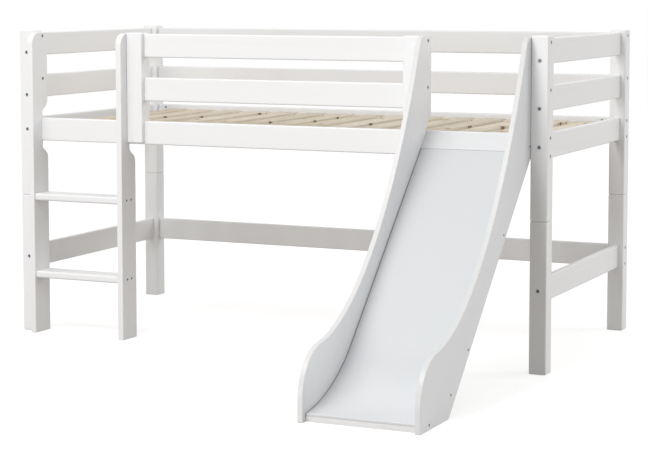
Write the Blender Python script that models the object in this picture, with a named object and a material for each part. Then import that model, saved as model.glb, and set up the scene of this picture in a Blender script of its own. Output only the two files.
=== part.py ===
"""A half-high bed with a ladder and a slide, as its separate posts, rails, boards, steps and slats.

Lengths are in metres. The bed is laid out from the floor at its front left corner: X runs along the bed,
Y runs from the front of the posts to the back, and Z is up. The slide and the ladder stand out in front,
at negative Y. A parent empty moves it all, so that the origin is the floor under the middle of the whole.
"""

import math

import bmesh
import bpy
from mathutils import Matrix, Vector

# The whole bed
LENGTH = 2.082
WIDTH = 0.984
CLEARANCE = 0.0003

# Posts, each an upper post on a lower leg, with a dowel between them
POST_SIDE = 0.060
POST_EASING = 0.004
POST_HEAD = 0.009
SEAM_BELOW_RAIL = 0.207
DOWEL_DIAMETER = 0.020
DOWEL_LENGTH = 0.090
DOWEL_CHAMFER = 0.002

# Rails. The lower rail and the bed rail are set out by their middles, the guard rails by the gaps between
RAIL_HEIGHT = 0.086
RAIL_THICKNESS = 0.022
RAIL_INSET = 0.019
RAIL_EASING = 0.005
END_EASING = 0.001
LOWER_RAIL_LEVEL = 0.284
BED_RAIL_LEVEL = 0.768
GUARD_GAP = 0.074

# Bolts through the posts, and the round cross nuts in the rails that they screw into
BOLT_HOLE = 0.007
BOLT_HEAD_BORE = 0.013
BOLT_HEAD_DEPTH = 0.005
BOLT_EDGE_INSET = 0.0125
BOLT_REACH = 0.045
NUT_BORE = 0.010
NUT_BORE_DEPTH = 0.016
NUT_SETBACK = 0.034

# Wood screws that hold the steps and the slide's cross pieces
SCREW_HOLE = 0.005
SCREW_HEAD_BORE = 0.009
SCREW_HEAD_DEPTH = 0.0015

# Short posts that stand on the front bed rail beside the ladder and the slide
SHORT_POST_WIDTH = 0.064
SHORT_POST_DROP = 0.005
TONGUE_RISE = 0.006

# Ladder
LADDER_WIDTH = 0.4035
LADDER_STANDOUT = 0.040
LADDER_DROP = 0.008
LADDER_CORNER = 0.042
STRINGER_THICKNESS = 0.022
STEP_THICKNESS = 0.027
STEP_EASING = 0.007
STEP_FRONT_SETBACK = 0.006
STEP_BACK_SETBACK = 0.005
STEP_SCREW_SPREAD = 0.031
UPPER_STEP_DROP = 0.281
STEP_RISE = 0.2935

# Recess in the back edge of the ladder's and the slide's sides, round the front bed rail
RECESS_MARGIN = 0.004
RECESS_CURVE = 0.066

# Slide sides
SLIDE_WIDTH = 0.398
SLIDE_SIDE_THICKNESS = 0.018
SLIDE_DROP = 0.005
SLIDE_REACH = 0.975
SLIDE_FOOT = 0.231
SLIDE_HEEL = 0.018
SLIDE_SHOULDER_REACH = 0.053
SLIDE_SHOULDER_DROP = 0.050
SLIDE_CORNER = 0.047
SLIDE_LOW_SIDE = 0.221
SLIDE_NOSE_DEPTH = 0.135
SLIDE_NOSE_RISE = 0.070
BOARD_EASING = 0.002

# Slide surface
CHUTE_DROP = 0.003
CHUTE_LINE_AHEAD = 0.057
CHUTE_RADIUS = 0.551
CHUTE_EXIT_HEIGHT = 0.026
CHUTE_LIP_SETBACK = 0.020
CHUTE_SIDE_GAP = 0.001
CHUTE_JOINT = 0.001
CHUTE_STEP_DOWN = 0.001
CHUTE_THICKNESS = 0.008
TOP_BOARD_LENGTH = 0.076
TOP_BOARD_THICKNESS = 0.022
BATTEN_WIDTH = 0.040
BATTEN_DEPTH = 0.030
BATTEN_EASING = 0.003
FRONT_BOARD_LENGTH = 0.095
FRONT_BOARD_THICKNESS = 0.016

# Slats, the ledger strips that carry them, and the tapes that space them
SLAT_WIDTH = 0.080
SLAT_THICKNESS = 0.018
SLAT_PITCH = 0.1276
SLAT_SHIFT = 0.010
SLAT_END_MARGIN = 0.050
SLAT_DROP = 0.019
SLAT_END_GAP = 0.002
SLAT_EASING = 0.002
LEDGER_WIDTH = 0.030
LEDGER_HEIGHT = 0.028
LEDGER_END_GAP = 0.012
LEDGER_EASING = 0.003
TAPE_WIDTH = 0.025
TAPE_THICKNESS = 0.001
TAPE_SETBACK = 0.009

# Counts, turns and shares, which have no unit
HOLE_SIDES = 8
DOWEL_SIDES = 12
EASING_STEPS = 2
END_STEPS = 1
ROUND_SHARE = 0.5
END_FACE_SHARE = 0.9
QUARTER_TURN = math.radians(90)
FULL_TURN = math.radians(360)
FLAT_ANGLE = math.radians(0.5)
ARRIS_ANGLE = math.radians(40)
BATTEN_PLACE_SHARES = (0.323, 0.680, 0.821)
SHOULDER_LEAN_SHARE = 0.38
LOW_SIDE_FALL_SHARE = 0.12
CORNER_PULL_SHARES = (0.45, 0.30)
FRONT_EDGE_PULL_SHARES = (0.34, 0.28)
NOSE_PULL_SHARES = (0.47, 0.28)
RECESS_PULL_SHARES = (0.50, 0.50)

# Helper distances for cutting and welding
OVERRUN = 0.010
WELD_DISTANCE = 0.00001

# Colours and roughness of the finishes
WHITE_LACQUER = ((0.86, 0.86, 0.85), 0.35)
SLIDE_LAMINATE = ((0.80, 0.81, 0.82), 0.25)
RAW_PINE = ((0.66, 0.56, 0.42), 0.60)
RAW_BEECH = ((0.60, 0.42, 0.27), 0.55)
WOVEN_TAPE = ((0.70, 0.69, 0.66), 0.90)

AXES = "XYZ"

# Places that follow from the sizes above
rail_inner = RAIL_INSET + RAIL_THICKNESS
rail_half = RAIL_HEIGHT / 2
bolt_offset = rail_half - BOLT_EDGE_INSET
post_middle = POST_SIDE / 2
bed_rail_low = BED_RAIL_LEVEL - rail_half
bed_rail_high = BED_RAIL_LEVEL + rail_half
middle_rail_level = BED_RAIL_LEVEL + RAIL_HEIGHT + GUARD_GAP
top_rail_level = middle_rail_level + RAIL_HEIGHT + GUARD_GAP
post_top = top_rail_level + rail_half + POST_HEAD
seam_level = bed_rail_low - SEAM_BELOW_RAIL
rail_front = RAIL_INSET - CLEARANCE
guard_bolt_levels = (middle_rail_level + bolt_offset, top_rail_level + bolt_offset)

ladder_left = POST_SIDE + CLEARANCE
ladder_right = ladder_left + LADDER_WIDTH
slide_right = LENGTH - POST_SIDE - CLEARANCE
slide_left = slide_right - SLIDE_WIDTH
left_short_post = ladder_right + CLEARANCE
right_short_post = slide_left - CLEARANCE - SHORT_POST_WIDTH
slide_inner_left = slide_left + SLIDE_SIDE_THICKNESS
slide_inner_right = slide_right - SLIDE_SIDE_THICKNESS


# Scene and collections
for leftover in list(bpy.data.objects):
    bpy.data.objects.remove(leftover)

bed_collection = bpy.data.collections.new("loft_bed_with_slide")
cutter_collection = bpy.data.collections.new("cutters")
bpy.context.scene.collection.children.link(bed_collection)
bpy.context.scene.collection.children.link(cutter_collection)

floor_middle = bpy.data.objects.new("floor_middle", None)
floor_middle.location = (-LENGTH / 2, (SLIDE_REACH - WIDTH) / 2, 0)
bed_collection.objects.link(floor_middle)


def make_finish(name, look):
    """One Principled material, with the colour and roughness of the look."""
    colour, roughness = look
    material = bpy.data.materials.new(name)
    material.use_nodes = True
    shader = material.node_tree.nodes["Principled BSDF"]
    shader.inputs["Base Color"].default_value = (*colour, 1)
    shader.inputs["Roughness"].default_value = roughness
    shader.inputs["Metallic"].default_value = 0
    return material


def add_piece(name, mesh, place, look):
    """Puts a finished mesh in the bed as the piece of this name."""
    piece = bpy.data.objects.new(name, mesh)
    piece.location = place
    piece.parent = floor_middle
    mesh.materials.append(make_finish(name + "_finish", look))
    bed_collection.objects.link(piece)
    return piece


def mesh_from(shape, name):
    """Turns a bmesh into a mesh with its faces pointing out."""
    bmesh.ops.recalc_face_normals(shape, faces=shape.faces)
    mesh = bpy.data.meshes.new(name)
    shape.to_mesh(mesh)
    shape.free()
    return mesh


def round_edges(shape, edges, width, steps):
    bmesh.ops.bevel(shape, geom=edges, offset=width, segments=steps, profile=ROUND_SHARE, affect="EDGES")


def runs_along(edge, axis):
    """Whether an edge of a box runs along the axis of this number."""
    run = edge.verts[1].co - edge.verts[0].co
    return abs(run[axis]) > WELD_DISTANCE


def board(name, low, high, grain, easing, look, end_easing=0):
    """A planed board between two corners, its long arrises rounded and its end arrises just broken."""
    low = Vector(low)
    high = Vector(high)
    axis = AXES.index(grain)
    shape = bmesh.new()
    bmesh.ops.create_cube(shape, size=1, matrix=Matrix.Diagonal((*(high - low), 1)))
    round_edges(shape, [edge for edge in shape.edges if runs_along(edge, axis)], easing, EASING_STEPS)
    if end_easing:
        ends = [face for face in shape.faces if abs(face.normal[axis]) > END_FACE_SHARE]
        round_edges(shape, [edge for face in ends for edge in face.edges], end_easing, END_STEPS)
    return add_piece(name, mesh_from(shape, name), (low + high) / 2, look)


def sawn_board(name, outline, left, right, look, easing):
    """A board sawn to an outline of (Y, Z) points, between two places along X."""
    drawing = bpy.data.curves.new(name, "CURVE")
    drawing.dimensions = "2D"
    drawing.fill_mode = "BOTH"
    drawing.extrude = (right - left) / 2
    line = drawing.splines.new("POLY")
    line.points.add(len(outline) - 1)
    for point, (y, z) in zip(line.points, outline):
        point.co = (y, z, 0, 1)
    line.use_cyclic_u = True
    drawn = bpy.data.objects.new(name + "_outline", drawing)
    bed_collection.objects.link(drawn)
    graph = bpy.context.evaluated_depsgraph_get()
    mesh = bpy.data.meshes.new_from_object(drawn.evaluated_get(graph))
    bpy.data.objects.remove(drawn)

    shape = bmesh.new()
    shape.from_mesh(mesh)
    bmesh.ops.remove_doubles(shape, verts=shape.verts, dist=WELD_DISTANCE)
    bmesh.ops.dissolve_limit(shape, angle_limit=FLAT_ANGLE, verts=shape.verts, edges=shape.edges)
    if easing:
        arrises = [edge for edge in shape.edges if edge.calc_face_angle(0) > ARRIS_ANGLE]
        round_edges(shape, arrises, easing, EASING_STEPS)
    piece = add_piece(name, mesh_from(shape, name), ((left + right) / 2, 0, 0), look)
    piece.rotation_euler = (QUARTER_TURN, 0, QUARTER_TURN)
    return piece


def add_turned(shape, profile, sides, place):
    """Adds a turned solid, its profile of (radius, height) points spun about Z, at this place."""
    before = set(shape.verts)
    points = [shape.verts.new((radius, 0, height)) for radius, height in profile]
    lines = [shape.edges.new(pair) for pair in zip(points, points[1:])]
    bmesh.ops.spin(
        shape,
        geom=points + lines,
        cent=(0, 0, 0),
        axis=(0, 0, 1),
        angle=FULL_TURN,
        steps=sides,
        use_merge=True,
    )
    added = [point for point in shape.verts if point not in before]
    bmesh.ops.transform(shape, matrix=place, verts=added)


def cut_away(piece, label, shape):
    """Cuts a shape, given in the bed's layout, out of a piece."""
    bmesh.ops.remove_doubles(shape, verts=shape.verts, dist=WELD_DISTANCE)
    cutter = bpy.data.objects.new(f"{piece.name}_{label}", mesh_from(shape, label))
    cutter.parent = floor_middle
    cutter.display_type = "WIRE"
    cutter.hide_render = True
    cutter_collection.objects.link(cutter)
    cut = piece.modifiers.new(label, "BOOLEAN")
    cut.operation = "DIFFERENCE"
    cut.solver = "EXACT"
    cut.object = cutter


def drill(piece, label, drillings, sides=HOLE_SIDES):
    """Drills holes in a piece. Each has its mouth, its way in, and its steps of diameter and depth."""
    shape = bmesh.new()
    for mouth, way_in, steps in drillings:
        profile = [(0, -OVERRUN), (steps[0][0] / 2, -OVERRUN)]
        for (diameter, depth), narrower in zip(steps, [*steps[1:], (0, 0)]):
            profile.append((diameter / 2, depth))
            profile.append((narrower[0] / 2, depth))
        turn = Vector(way_in).to_track_quat("Z", "Y").to_matrix().to_4x4()
        add_turned(shape, profile, sides, Matrix.Translation(Vector(mouth)) @ turn)
    cut_away(piece, label, shape)


def bolt_steps(thickness):
    """A bolt's hole through this thickness, with the sunk seat of its head."""
    return ((BOLT_HEAD_BORE, BOLT_HEAD_DEPTH), (BOLT_HOLE, thickness + OVERRUN))


def screw_steps(thickness):
    return ((SCREW_HEAD_BORE, SCREW_HEAD_DEPTH), (SCREW_HOLE, thickness + OVERRUN))


def bend(start, heading, end, arrival, pull_shares, steps):
    """Points along a smooth curve that leaves start on its heading and comes to end on its arrival."""
    start = Vector(start)
    end = Vector(end)
    span = (end - start).length
    first = start + Vector(heading).normalized() * span * pull_shares[0]
    second = end - Vector(arrival).normalized() * span * pull_shares[1]
    points = []
    for step in range(steps + 1):
        share = step / steps
        rest = 1 - share
        near = start * rest**3 + first * 3 * rest**2 * share
        far = second * 3 * rest * share**2 + end * share**3
        points.append(tuple(near + far))
    return points


# Posts and legs
class Corner:
    """One corner of the bed: where its post stands, and which way is out along X and along Y."""

    def __init__(self, name, at_right, at_back):
        self.name = name
        self.at_back = at_back
        self.low_x = LENGTH - POST_SIDE if at_right else 0
        self.low_y = WIDTH - POST_SIDE if at_back else 0
        self.outer_x = LENGTH if at_right else 0
        self.outer_y = WIDTH if at_back else 0
        self.into_x = -1 if at_right else 1
        self.into_y = -1 if at_back else 1
        self.middle_x = self.low_x + post_middle
        self.middle_y = self.low_y + post_middle

    def lengthwise_bolt(self, level):
        mouth = (self.outer_x, self.middle_y, level)
        return mouth, (self.into_x, 0, 0), bolt_steps(POST_SIDE)

    def crosswise_bolt(self, level):
        mouth = (self.middle_x, self.outer_y, level)
        return mouth, (0, self.into_y, 0), bolt_steps(POST_SIDE)


corners = (
    Corner("left_front", at_right=False, at_back=False),
    Corner("right_front", at_right=True, at_back=False),
    Corner("left_back", at_right=False, at_back=True),
    Corner("right_back", at_right=True, at_back=True),
)


def post_part(name, corner, low, high):
    low_corner = (corner.low_x, corner.low_y, low)
    high_corner = (corner.low_x + POST_SIDE, corner.low_y + POST_SIDE, high)
    return board(name, low_corner, high_corner, "Z", POST_EASING, WHITE_LACQUER, POST_EASING)


def dowel_bore(corner, level, up):
    """The blind bore that takes half of the dowel, from the seam up or down."""
    depth = (DOWEL_LENGTH + CLEARANCE) / 2 + CLEARANCE
    diameter = DOWEL_DIAMETER + CLEARANCE * 2
    return (corner.middle_x, corner.middle_y, level), (0, 0, up), ((diameter, depth),)


for corner in corners:
    upper_post = post_part(corner.name + "_upper_post", corner, seam_level + CLEARANCE, post_top)
    bolts = [corner.lengthwise_bolt(level) for level in guard_bolt_levels]
    bolts += [corner.lengthwise_bolt(BED_RAIL_LEVEL + side * bolt_offset) for side in (-1, 1)]
    bolts += [corner.crosswise_bolt(level - bolt_offset) for level in (middle_rail_level, top_rail_level)]
    bolts += [corner.crosswise_bolt(BED_RAIL_LEVEL)]
    drill(upper_post, "bolt_holes", bolts)
    drill(upper_post, "dowel_bore", [dowel_bore(corner, seam_level + CLEARANCE, 1)], DOWEL_SIDES)

    leg = post_part(corner.name + "_leg", corner, 0, seam_level)
    bolts = [corner.crosswise_bolt(LOWER_RAIL_LEVEL)]
    if corner.at_back:
        bolts += [corner.lengthwise_bolt(LOWER_RAIL_LEVEL + side * bolt_offset) for side in (-1, 1)]
    drill(leg, "bolt_holes", bolts)
    drill(leg, "dowel_bore", [dowel_bore(corner, seam_level, -1)], DOWEL_SIDES)

    dowel_shape = bmesh.new()
    half = DOWEL_LENGTH / 2
    radius = DOWEL_DIAMETER / 2
    dowel_profile = (
        (0, -half),
        (radius - DOWEL_CHAMFER, -half),
        (radius, DOWEL_CHAMFER - half),
        (radius, half - DOWEL_CHAMFER),
        (radius - DOWEL_CHAMFER, half),
        (0, half),
    )
    add_turned(dowel_shape, dowel_profile, DOWEL_SIDES, Matrix.Identity(4))
    bmesh.ops.remove_doubles(dowel_shape, verts=dowel_shape.verts, dist=WELD_DISTANCE)
    dowel_name = corner.name + "_leg_dowel"
    dowel_place = (corner.middle_x, corner.middle_y, seam_level + CLEARANCE / 2)
    add_piece(dowel_name, mesh_from(dowel_shape, dowel_name), dowel_place, RAW_BEECH)


# Rails
def rail_place(grain, along, across, up):
    """A place or a way given along a rail's grain, across it and up."""
    return (along, across, up) if grain == "X" else (across, along, up)


def drill_rail(rail, ends, grain, nut_face, nut_way, levels):
    """Bores a rail's two ends for its bolts, and one face for the cross nuts they screw into."""
    bolt_bores = []
    nut_bores = []
    middle = nut_face + nut_way * RAIL_THICKNESS / 2
    for end, way_in in zip(ends, (1, -1)):
        for level in levels:
            mouth, way = rail_place(grain, end, middle, level), rail_place(grain, way_in, 0, 0)
            bolt_bores.append((mouth, way, ((BOLT_HOLE, BOLT_REACH),)))
            mouth = rail_place(grain, end + way_in * NUT_SETBACK, nut_face, level)
            nut_bores.append((mouth, rail_place(grain, 0, nut_way, 0), ((NUT_BORE, NUT_BORE_DEPTH),)))
    drill(rail, "bolt_bores", bolt_bores)
    drill(rail, "nut_bores", nut_bores)


def long_rail(name, left, right, at_back, level, bolt_levels, nuts_outside=False):
    """A rail along the front or the back, its outer face set in from the posts' faces.

    Its cross nuts go in from the inside of the bed unless they are said to be outside."""
    front = WIDTH - rail_inner if at_back else RAIL_INSET
    nuts_in_front = at_back != nuts_outside
    nut_face, nut_way = (front, 1) if nuts_in_front else (front + RAIL_THICKNESS, -1)
    ends = (left + CLEARANCE, right - CLEARANCE)
    low = (ends[0], front, level - rail_half)
    high = (ends[1], front + RAIL_THICKNESS, level + rail_half)
    rail = board(name, low, high, "X", RAIL_EASING, WHITE_LACQUER, END_EASING)
    drill_rail(rail, ends, "X", nut_face, nut_way, bolt_levels)


def end_rail(name, at_right, level, bolt_levels, nuts_outside=False):
    """A rail across the left or the right end, between a front post and a back post."""
    left = LENGTH - rail_inner if at_right else RAIL_INSET
    nuts_at_left = at_right != nuts_outside
    nut_face, nut_way = (left, 1) if nuts_at_left else (left + RAIL_THICKNESS, -1)
    ends = (POST_SIDE + CLEARANCE, WIDTH - POST_SIDE - CLEARANCE)
    low = (left, ends[0], level - rail_half)
    high = (left + RAIL_THICKNESS, ends[1], level + rail_half)
    rail = board(name, low, high, "Y", RAIL_EASING, WHITE_LACQUER, END_EASING)
    drill_rail(rail, ends, "Y", nut_face, nut_way, bolt_levels)


def both_edges(level):
    """Bolts near both edges of a rail."""
    return (level - bolt_offset, level + bolt_offset)


far_post = LENGTH - POST_SIDE
guard_left = left_short_post + SHORT_POST_WIDTH
long_rail("front_bed_rail", POST_SIDE, far_post, False, BED_RAIL_LEVEL, both_edges(BED_RAIL_LEVEL))
for place, level, bolt_level in zip(("middle", "top"), (middle_rail_level, top_rail_level), guard_bolt_levels):
    long_rail(f"front_{place}_guard_rail", guard_left, right_short_post, False, level, (bolt_level,))
    long_rail(f"back_{place}_guard_rail", POST_SIDE, far_post, True, level, (bolt_level,), True)
long_rail("back_bed_rail", POST_SIDE, far_post, True, BED_RAIL_LEVEL, both_edges(BED_RAIL_LEVEL))
long_rail("back_lower_rail", POST_SIDE, far_post, True, LOWER_RAIL_LEVEL, both_edges(LOWER_RAIL_LEVEL), True)

for side, at_right in (("left", False), ("right", True)):
    end_rail(f"{side}_end_lower_rail", at_right, LOWER_RAIL_LEVEL, (LOWER_RAIL_LEVEL,), not at_right)
    end_rail(f"{side}_end_bed_rail", at_right, BED_RAIL_LEVEL, (BED_RAIL_LEVEL,))
    end_rail(f"{side}_end_middle_rail", at_right, middle_rail_level, (middle_rail_level - bolt_offset,))
    end_rail(f"{side}_end_top_rail", at_right, top_rail_level, (top_rail_level - bolt_offset,))


# Short posts
def short_post(name, left):
    """A short post on the front bed rail. Its tongue laps down the rail's outer face, not quite to the edge."""
    low = (left, 0, bed_rail_low + TONGUE_RISE)
    high = (left + SHORT_POST_WIDTH, POST_SIDE, post_top - SHORT_POST_DROP)
    post = board(name, low, high, "Z", POST_EASING, WHITE_LACQUER, POST_EASING)

    lap_low = Vector((left - OVERRUN, rail_front, bed_rail_low - OVERRUN))
    lap_high = Vector((left + SHORT_POST_WIDTH + OVERRUN, POST_SIDE + OVERRUN, bed_rail_high + CLEARANCE))
    lap = bmesh.new()
    place = Matrix.Translation((lap_low + lap_high) / 2)
    bmesh.ops.create_cube(lap, size=1, matrix=place @ Matrix.Diagonal((*(lap_high - lap_low), 1)))
    cut_away(post, "rail_lap", lap)

    steps = ((BOLT_HOLE, SHORT_POST_WIDTH + OVERRUN),)
    bolts = [((left, post_middle, level), (1, 0, 0), steps) for level in guard_bolt_levels]
    drill(post, "bolt_holes", bolts)


short_post("left_short_post", left_short_post)
short_post("right_short_post", right_short_post)


# Ladder
def recess_above():
    """The back edge's curve from the bed rail's front face back to the posts' back face, going up."""
    start = (rail_front, bed_rail_high + RECESS_MARGIN)
    end = (POST_SIDE, bed_rail_high + RECESS_MARGIN + RECESS_CURVE)
    return bend(start, (0, 1), end, (0, 1), RECESS_PULL_SHARES, 8)


def recess_below():
    """The same curve under the bed rail, going up from the posts' back face to the rail's front face."""
    start = (POST_SIDE, bed_rail_low - RECESS_MARGIN - RECESS_CURVE)
    end = (rail_front, bed_rail_low - RECESS_MARGIN)
    return bend(start, (0, 1), end, (0, 1), RECESS_PULL_SHARES, 8)


def stringer_outline():
    front = -LADDER_STANDOUT
    top = post_top - LADDER_DROP
    outline = [(front, 0), (POST_SIDE, 0)]
    outline += recess_below()
    outline += recess_above()
    outline += [(POST_SIDE, top)]
    middle = Vector((front + LADDER_CORNER, top - LADDER_CORNER))
    for step in range(7):
        angle = QUARTER_TURN * (1 + step / 6)
        outline.append(tuple(middle + LADDER_CORNER * Vector((math.cos(angle), math.sin(angle)))))
    return outline


upper_step_level = bed_rail_high - UPPER_STEP_DROP - STEP_THICKNESS / 2
step_levels = (upper_step_level - STEP_RISE, upper_step_level)
step_front = STEP_FRONT_SETBACK - LADDER_STANDOUT
step_back = POST_SIDE - STEP_BACK_SETBACK
step_middle = (step_front + step_back) / 2
step_screw_rows = (step_middle - STEP_SCREW_SPREAD / 2, step_middle + STEP_SCREW_SPREAD / 2)


def stringer(name, left, inner_face, inward):
    """An upright side of the ladder, bolted to the post beside it and screwed to the steps."""
    right = left + STRINGER_THICKNESS
    piece = sawn_board(name, stringer_outline(), left, right, WHITE_LACQUER, BOARD_EASING)
    holes = []
    for level in guard_bolt_levels:
        holes.append(((inner_face, post_middle, level), (-inward, 0, 0), bolt_steps(STRINGER_THICKNESS)))
    outer_face = inner_face - inward * STRINGER_THICKNESS
    for level in step_levels:
        for row in step_screw_rows:
            holes.append(((outer_face, row, level), (inward, 0, 0), screw_steps(STRINGER_THICKNESS)))
    drill(piece, "bolt_and_screw_holes", holes)


right_stringer = ladder_right - STRINGER_THICKNESS
stringer("left_ladder_stringer", ladder_left, ladder_left + STRINGER_THICKNESS, 1)
stringer("right_ladder_stringer", right_stringer, right_stringer, -1)

for name, level in zip(("lower_ladder_step", "upper_ladder_step"), step_levels):
    low = (ladder_left + STRINGER_THICKNESS + CLEARANCE, step_front, level - STEP_THICKNESS / 2)
    high = (right_stringer - CLEARANCE, step_back, level + STEP_THICKNESS / 2)
    board(name, low, high, "X", STEP_EASING, WHITE_LACQUER, END_EASING)


# Slide surface, a straight run that ends in an arc
chute_start = Vector((rail_front, bed_rail_high - CHUTE_DROP))
chute_exit = Vector((CHUTE_LIP_SETBACK - SLIDE_REACH, CHUTE_EXIT_HEIGHT))
chute_line_foot = Vector((SLIDE_FOOT - SLIDE_REACH - CHUTE_LINE_AHEAD, 0))
straight_down = (chute_line_foot - chute_start).normalized()
straight_out = Vector((straight_down.y, -straight_down.x))
exit_lift = (chute_exit - chute_start).dot(straight_out)
exit_run = (chute_exit - chute_start).dot(straight_down)
straight_length = exit_run - math.sqrt(exit_lift * (2 * CHUTE_RADIUS - exit_lift))
arc_turn = math.acos(1 - exit_lift / CHUTE_RADIUS)
chute_length = straight_length + CHUTE_RADIUS * arc_turn


def chute_place(distance):
    """A point on the slide's surface, this far down it, with the ways down it and out of it."""
    if distance <= straight_length:
        return chute_start + straight_down * distance, straight_down, straight_out
    turn = Matrix.Rotation((straight_length - distance) / CHUTE_RADIUS, 2)
    centre = chute_start + straight_down * straight_length + straight_out * CHUTE_RADIUS
    out = turn @ straight_out
    return centre - out * CHUTE_RADIUS, turn @ straight_down, out


def under_chute(distance, depth):
    """The point that lies this deep under the slide's surface, this far down it."""
    point, down, out = chute_place(distance)
    return point - out * depth


def chute_band(start, end, top, bottom, steps):
    """An outline that follows the slide between two distances and two depths."""
    distances = [start]
    distances += [straight_length] if start < straight_length < end else []
    bent_from = distances[-1]
    distances += [bent_from + (end - bent_from) * step / steps for step in range(1, steps + 1)]
    upper = [tuple(under_chute(distance, top)) for distance in distances]
    lower = [tuple(under_chute(distance, bottom)) for distance in reversed(distances)]
    return upper + lower


sheet_left = slide_inner_left + CHUTE_SIDE_GAP
sheet_right = slide_inner_right - CHUTE_SIDE_GAP
cross_left = slide_inner_left + CLEARANCE
cross_right = slide_inner_right - CLEARANCE

sheet_outline = chute_band(TOP_BOARD_LENGTH + CHUTE_JOINT, chute_length, 0, CHUTE_THICKNESS, 12)
sawn_board("slide_sheet", sheet_outline, sheet_left, sheet_right, SLIDE_LAMINATE, 0)

board_top = CHUTE_STEP_DOWN
board_front_top = under_chute(TOP_BOARD_LENGTH, -board_top)
board_front_bottom = under_chute(TOP_BOARD_LENGTH, TOP_BOARD_THICKNESS - board_top)
board_back_top = (rail_front, chute_start.y + board_top / -straight_down.x)
board_back_bottom = (rail_front, board_back_top[1] - TOP_BOARD_THICKNESS / -straight_down.x)
top_board_outline = (board_back_top, tuple(board_front_top), tuple(board_front_bottom), board_back_bottom)
top_board_middle = sum((Vector(point) for point in top_board_outline), Vector((0, 0))) / 4
sawn_board("slide_top_board", top_board_outline, cross_left, cross_right, WHITE_LACQUER, END_EASING)

under_sheet = CHUTE_THICKNESS + CLEARANCE
front_outline = chute_band(
    chute_length - FRONT_BOARD_LENGTH, chute_length, under_sheet, under_sheet + FRONT_BOARD_THICKNESS, 3
)
front_board_middle = under_chute(chute_length - FRONT_BOARD_LENGTH / 2, under_sheet + FRONT_BOARD_THICKNESS / 2)
sawn_board("slide_front_board", front_outline, cross_left, cross_right, WHITE_LACQUER, 0)

cross_screws = [top_board_middle, front_board_middle]
for name, share in zip(("upper", "middle", "lower"), BATTEN_PLACE_SHARES):
    distance = chute_length * share
    point, down, out = chute_place(distance)
    middle = under_chute(distance, under_sheet + BATTEN_DEPTH / 2)
    half = Vector((0, BATTEN_WIDTH, BATTEN_DEPTH)) / 2
    low = Vector((cross_left, middle.x, middle.y)) - half
    high = Vector((cross_right, middle.x, middle.y)) + half
    batten = board(f"slide_{name}_batten", low, high, "X", BATTEN_EASING, RAW_PINE)
    batten.rotation_euler.x = math.atan2(-down.y, -down.x)
    cross_screws.append(middle)


# Slide sides
def slide_side_outline():
    top = post_top - SLIDE_DROP
    shoulder = (-SLIDE_SHOULDER_REACH, top - SLIDE_SHOULDER_DROP)
    shoulder_fall = (-SHOULDER_LEAN_SHARE, -1)
    low_side = (SLIDE_NOSE_DEPTH - SLIDE_REACH, SLIDE_LOW_SIDE)
    low_fall = (-1, -LOW_SIDE_FALL_SHARE)
    corner = (SLIDE_CORNER - SLIDE_SHOULDER_REACH, top)
    nose = (-SLIDE_REACH, SLIDE_NOSE_RISE)
    outline = [(SLIDE_FOOT - SLIDE_REACH, 0), (rail_front, bed_rail_low + SLIDE_HEEL)]
    outline += recess_above()
    outline += [(POST_SIDE, top)]
    outline += bend(corner, (-1, 0), shoulder, shoulder_fall, CORNER_PULL_SHARES, 5)[:-1]
    outline += bend(shoulder, shoulder_fall, low_side, low_fall, FRONT_EDGE_PULL_SHARES, 14)[:-1]
    outline += bend(low_side, low_fall, nose, (0, -1), NOSE_PULL_SHARES, 8)
    outline += [(-SLIDE_REACH, 0)]
    return outline


def slide_side(name, left, inner_face, inward):
    """A side of the slide, bolted to the post beside it and screwed to the cross pieces under the sheet."""
    right = left + SLIDE_SIDE_THICKNESS
    piece = sawn_board(name, slide_side_outline(), left, right, WHITE_LACQUER, BOARD_EASING)
    holes = []
    for level in guard_bolt_levels:
        mouth = (inner_face, post_middle, level)
        holes.append((mouth, (-inward, 0, 0), bolt_steps(SLIDE_SIDE_THICKNESS)))
    outer_face = inner_face - inward * SLIDE_SIDE_THICKNESS
    for place in cross_screws:
        mouth = (outer_face, place.x, place.y)
        holes.append((mouth, (inward, 0, 0), screw_steps(SLIDE_SIDE_THICKNESS)))
    drill(piece, "bolt_and_screw_holes", holes)


slide_side("left_slide_side", slide_left, slide_inner_left, 1)
slide_side("right_slide_side", slide_inner_right, slide_inner_right, -1)


# Slats and what carries them
slat_top = bed_rail_high - SLAT_DROP
slat_bottom = slat_top - SLAT_THICKNESS
slat_front = rail_inner + SLAT_END_GAP
slat_back = WIDTH - rail_inner - SLAT_END_GAP
slat_space = LENGTH - rail_inner * 2 - SLAT_END_MARGIN * 2
slat_steps = int((slat_space - SLAT_WIDTH) / SLAT_PITCH)
slats_run = SLAT_PITCH * slat_steps + SLAT_WIDTH
first_slat = (LENGTH - slats_run) / 2 + SLAT_SHIFT
for index in range(slat_steps + 1):
    left = first_slat + SLAT_PITCH * index
    low = (left, slat_front, slat_bottom)
    high = (left + SLAT_WIDTH, slat_back, slat_top)
    board(f"slat_{index + 1:02d}", low, high, "Y", SLAT_EASING, RAW_PINE)

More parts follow.
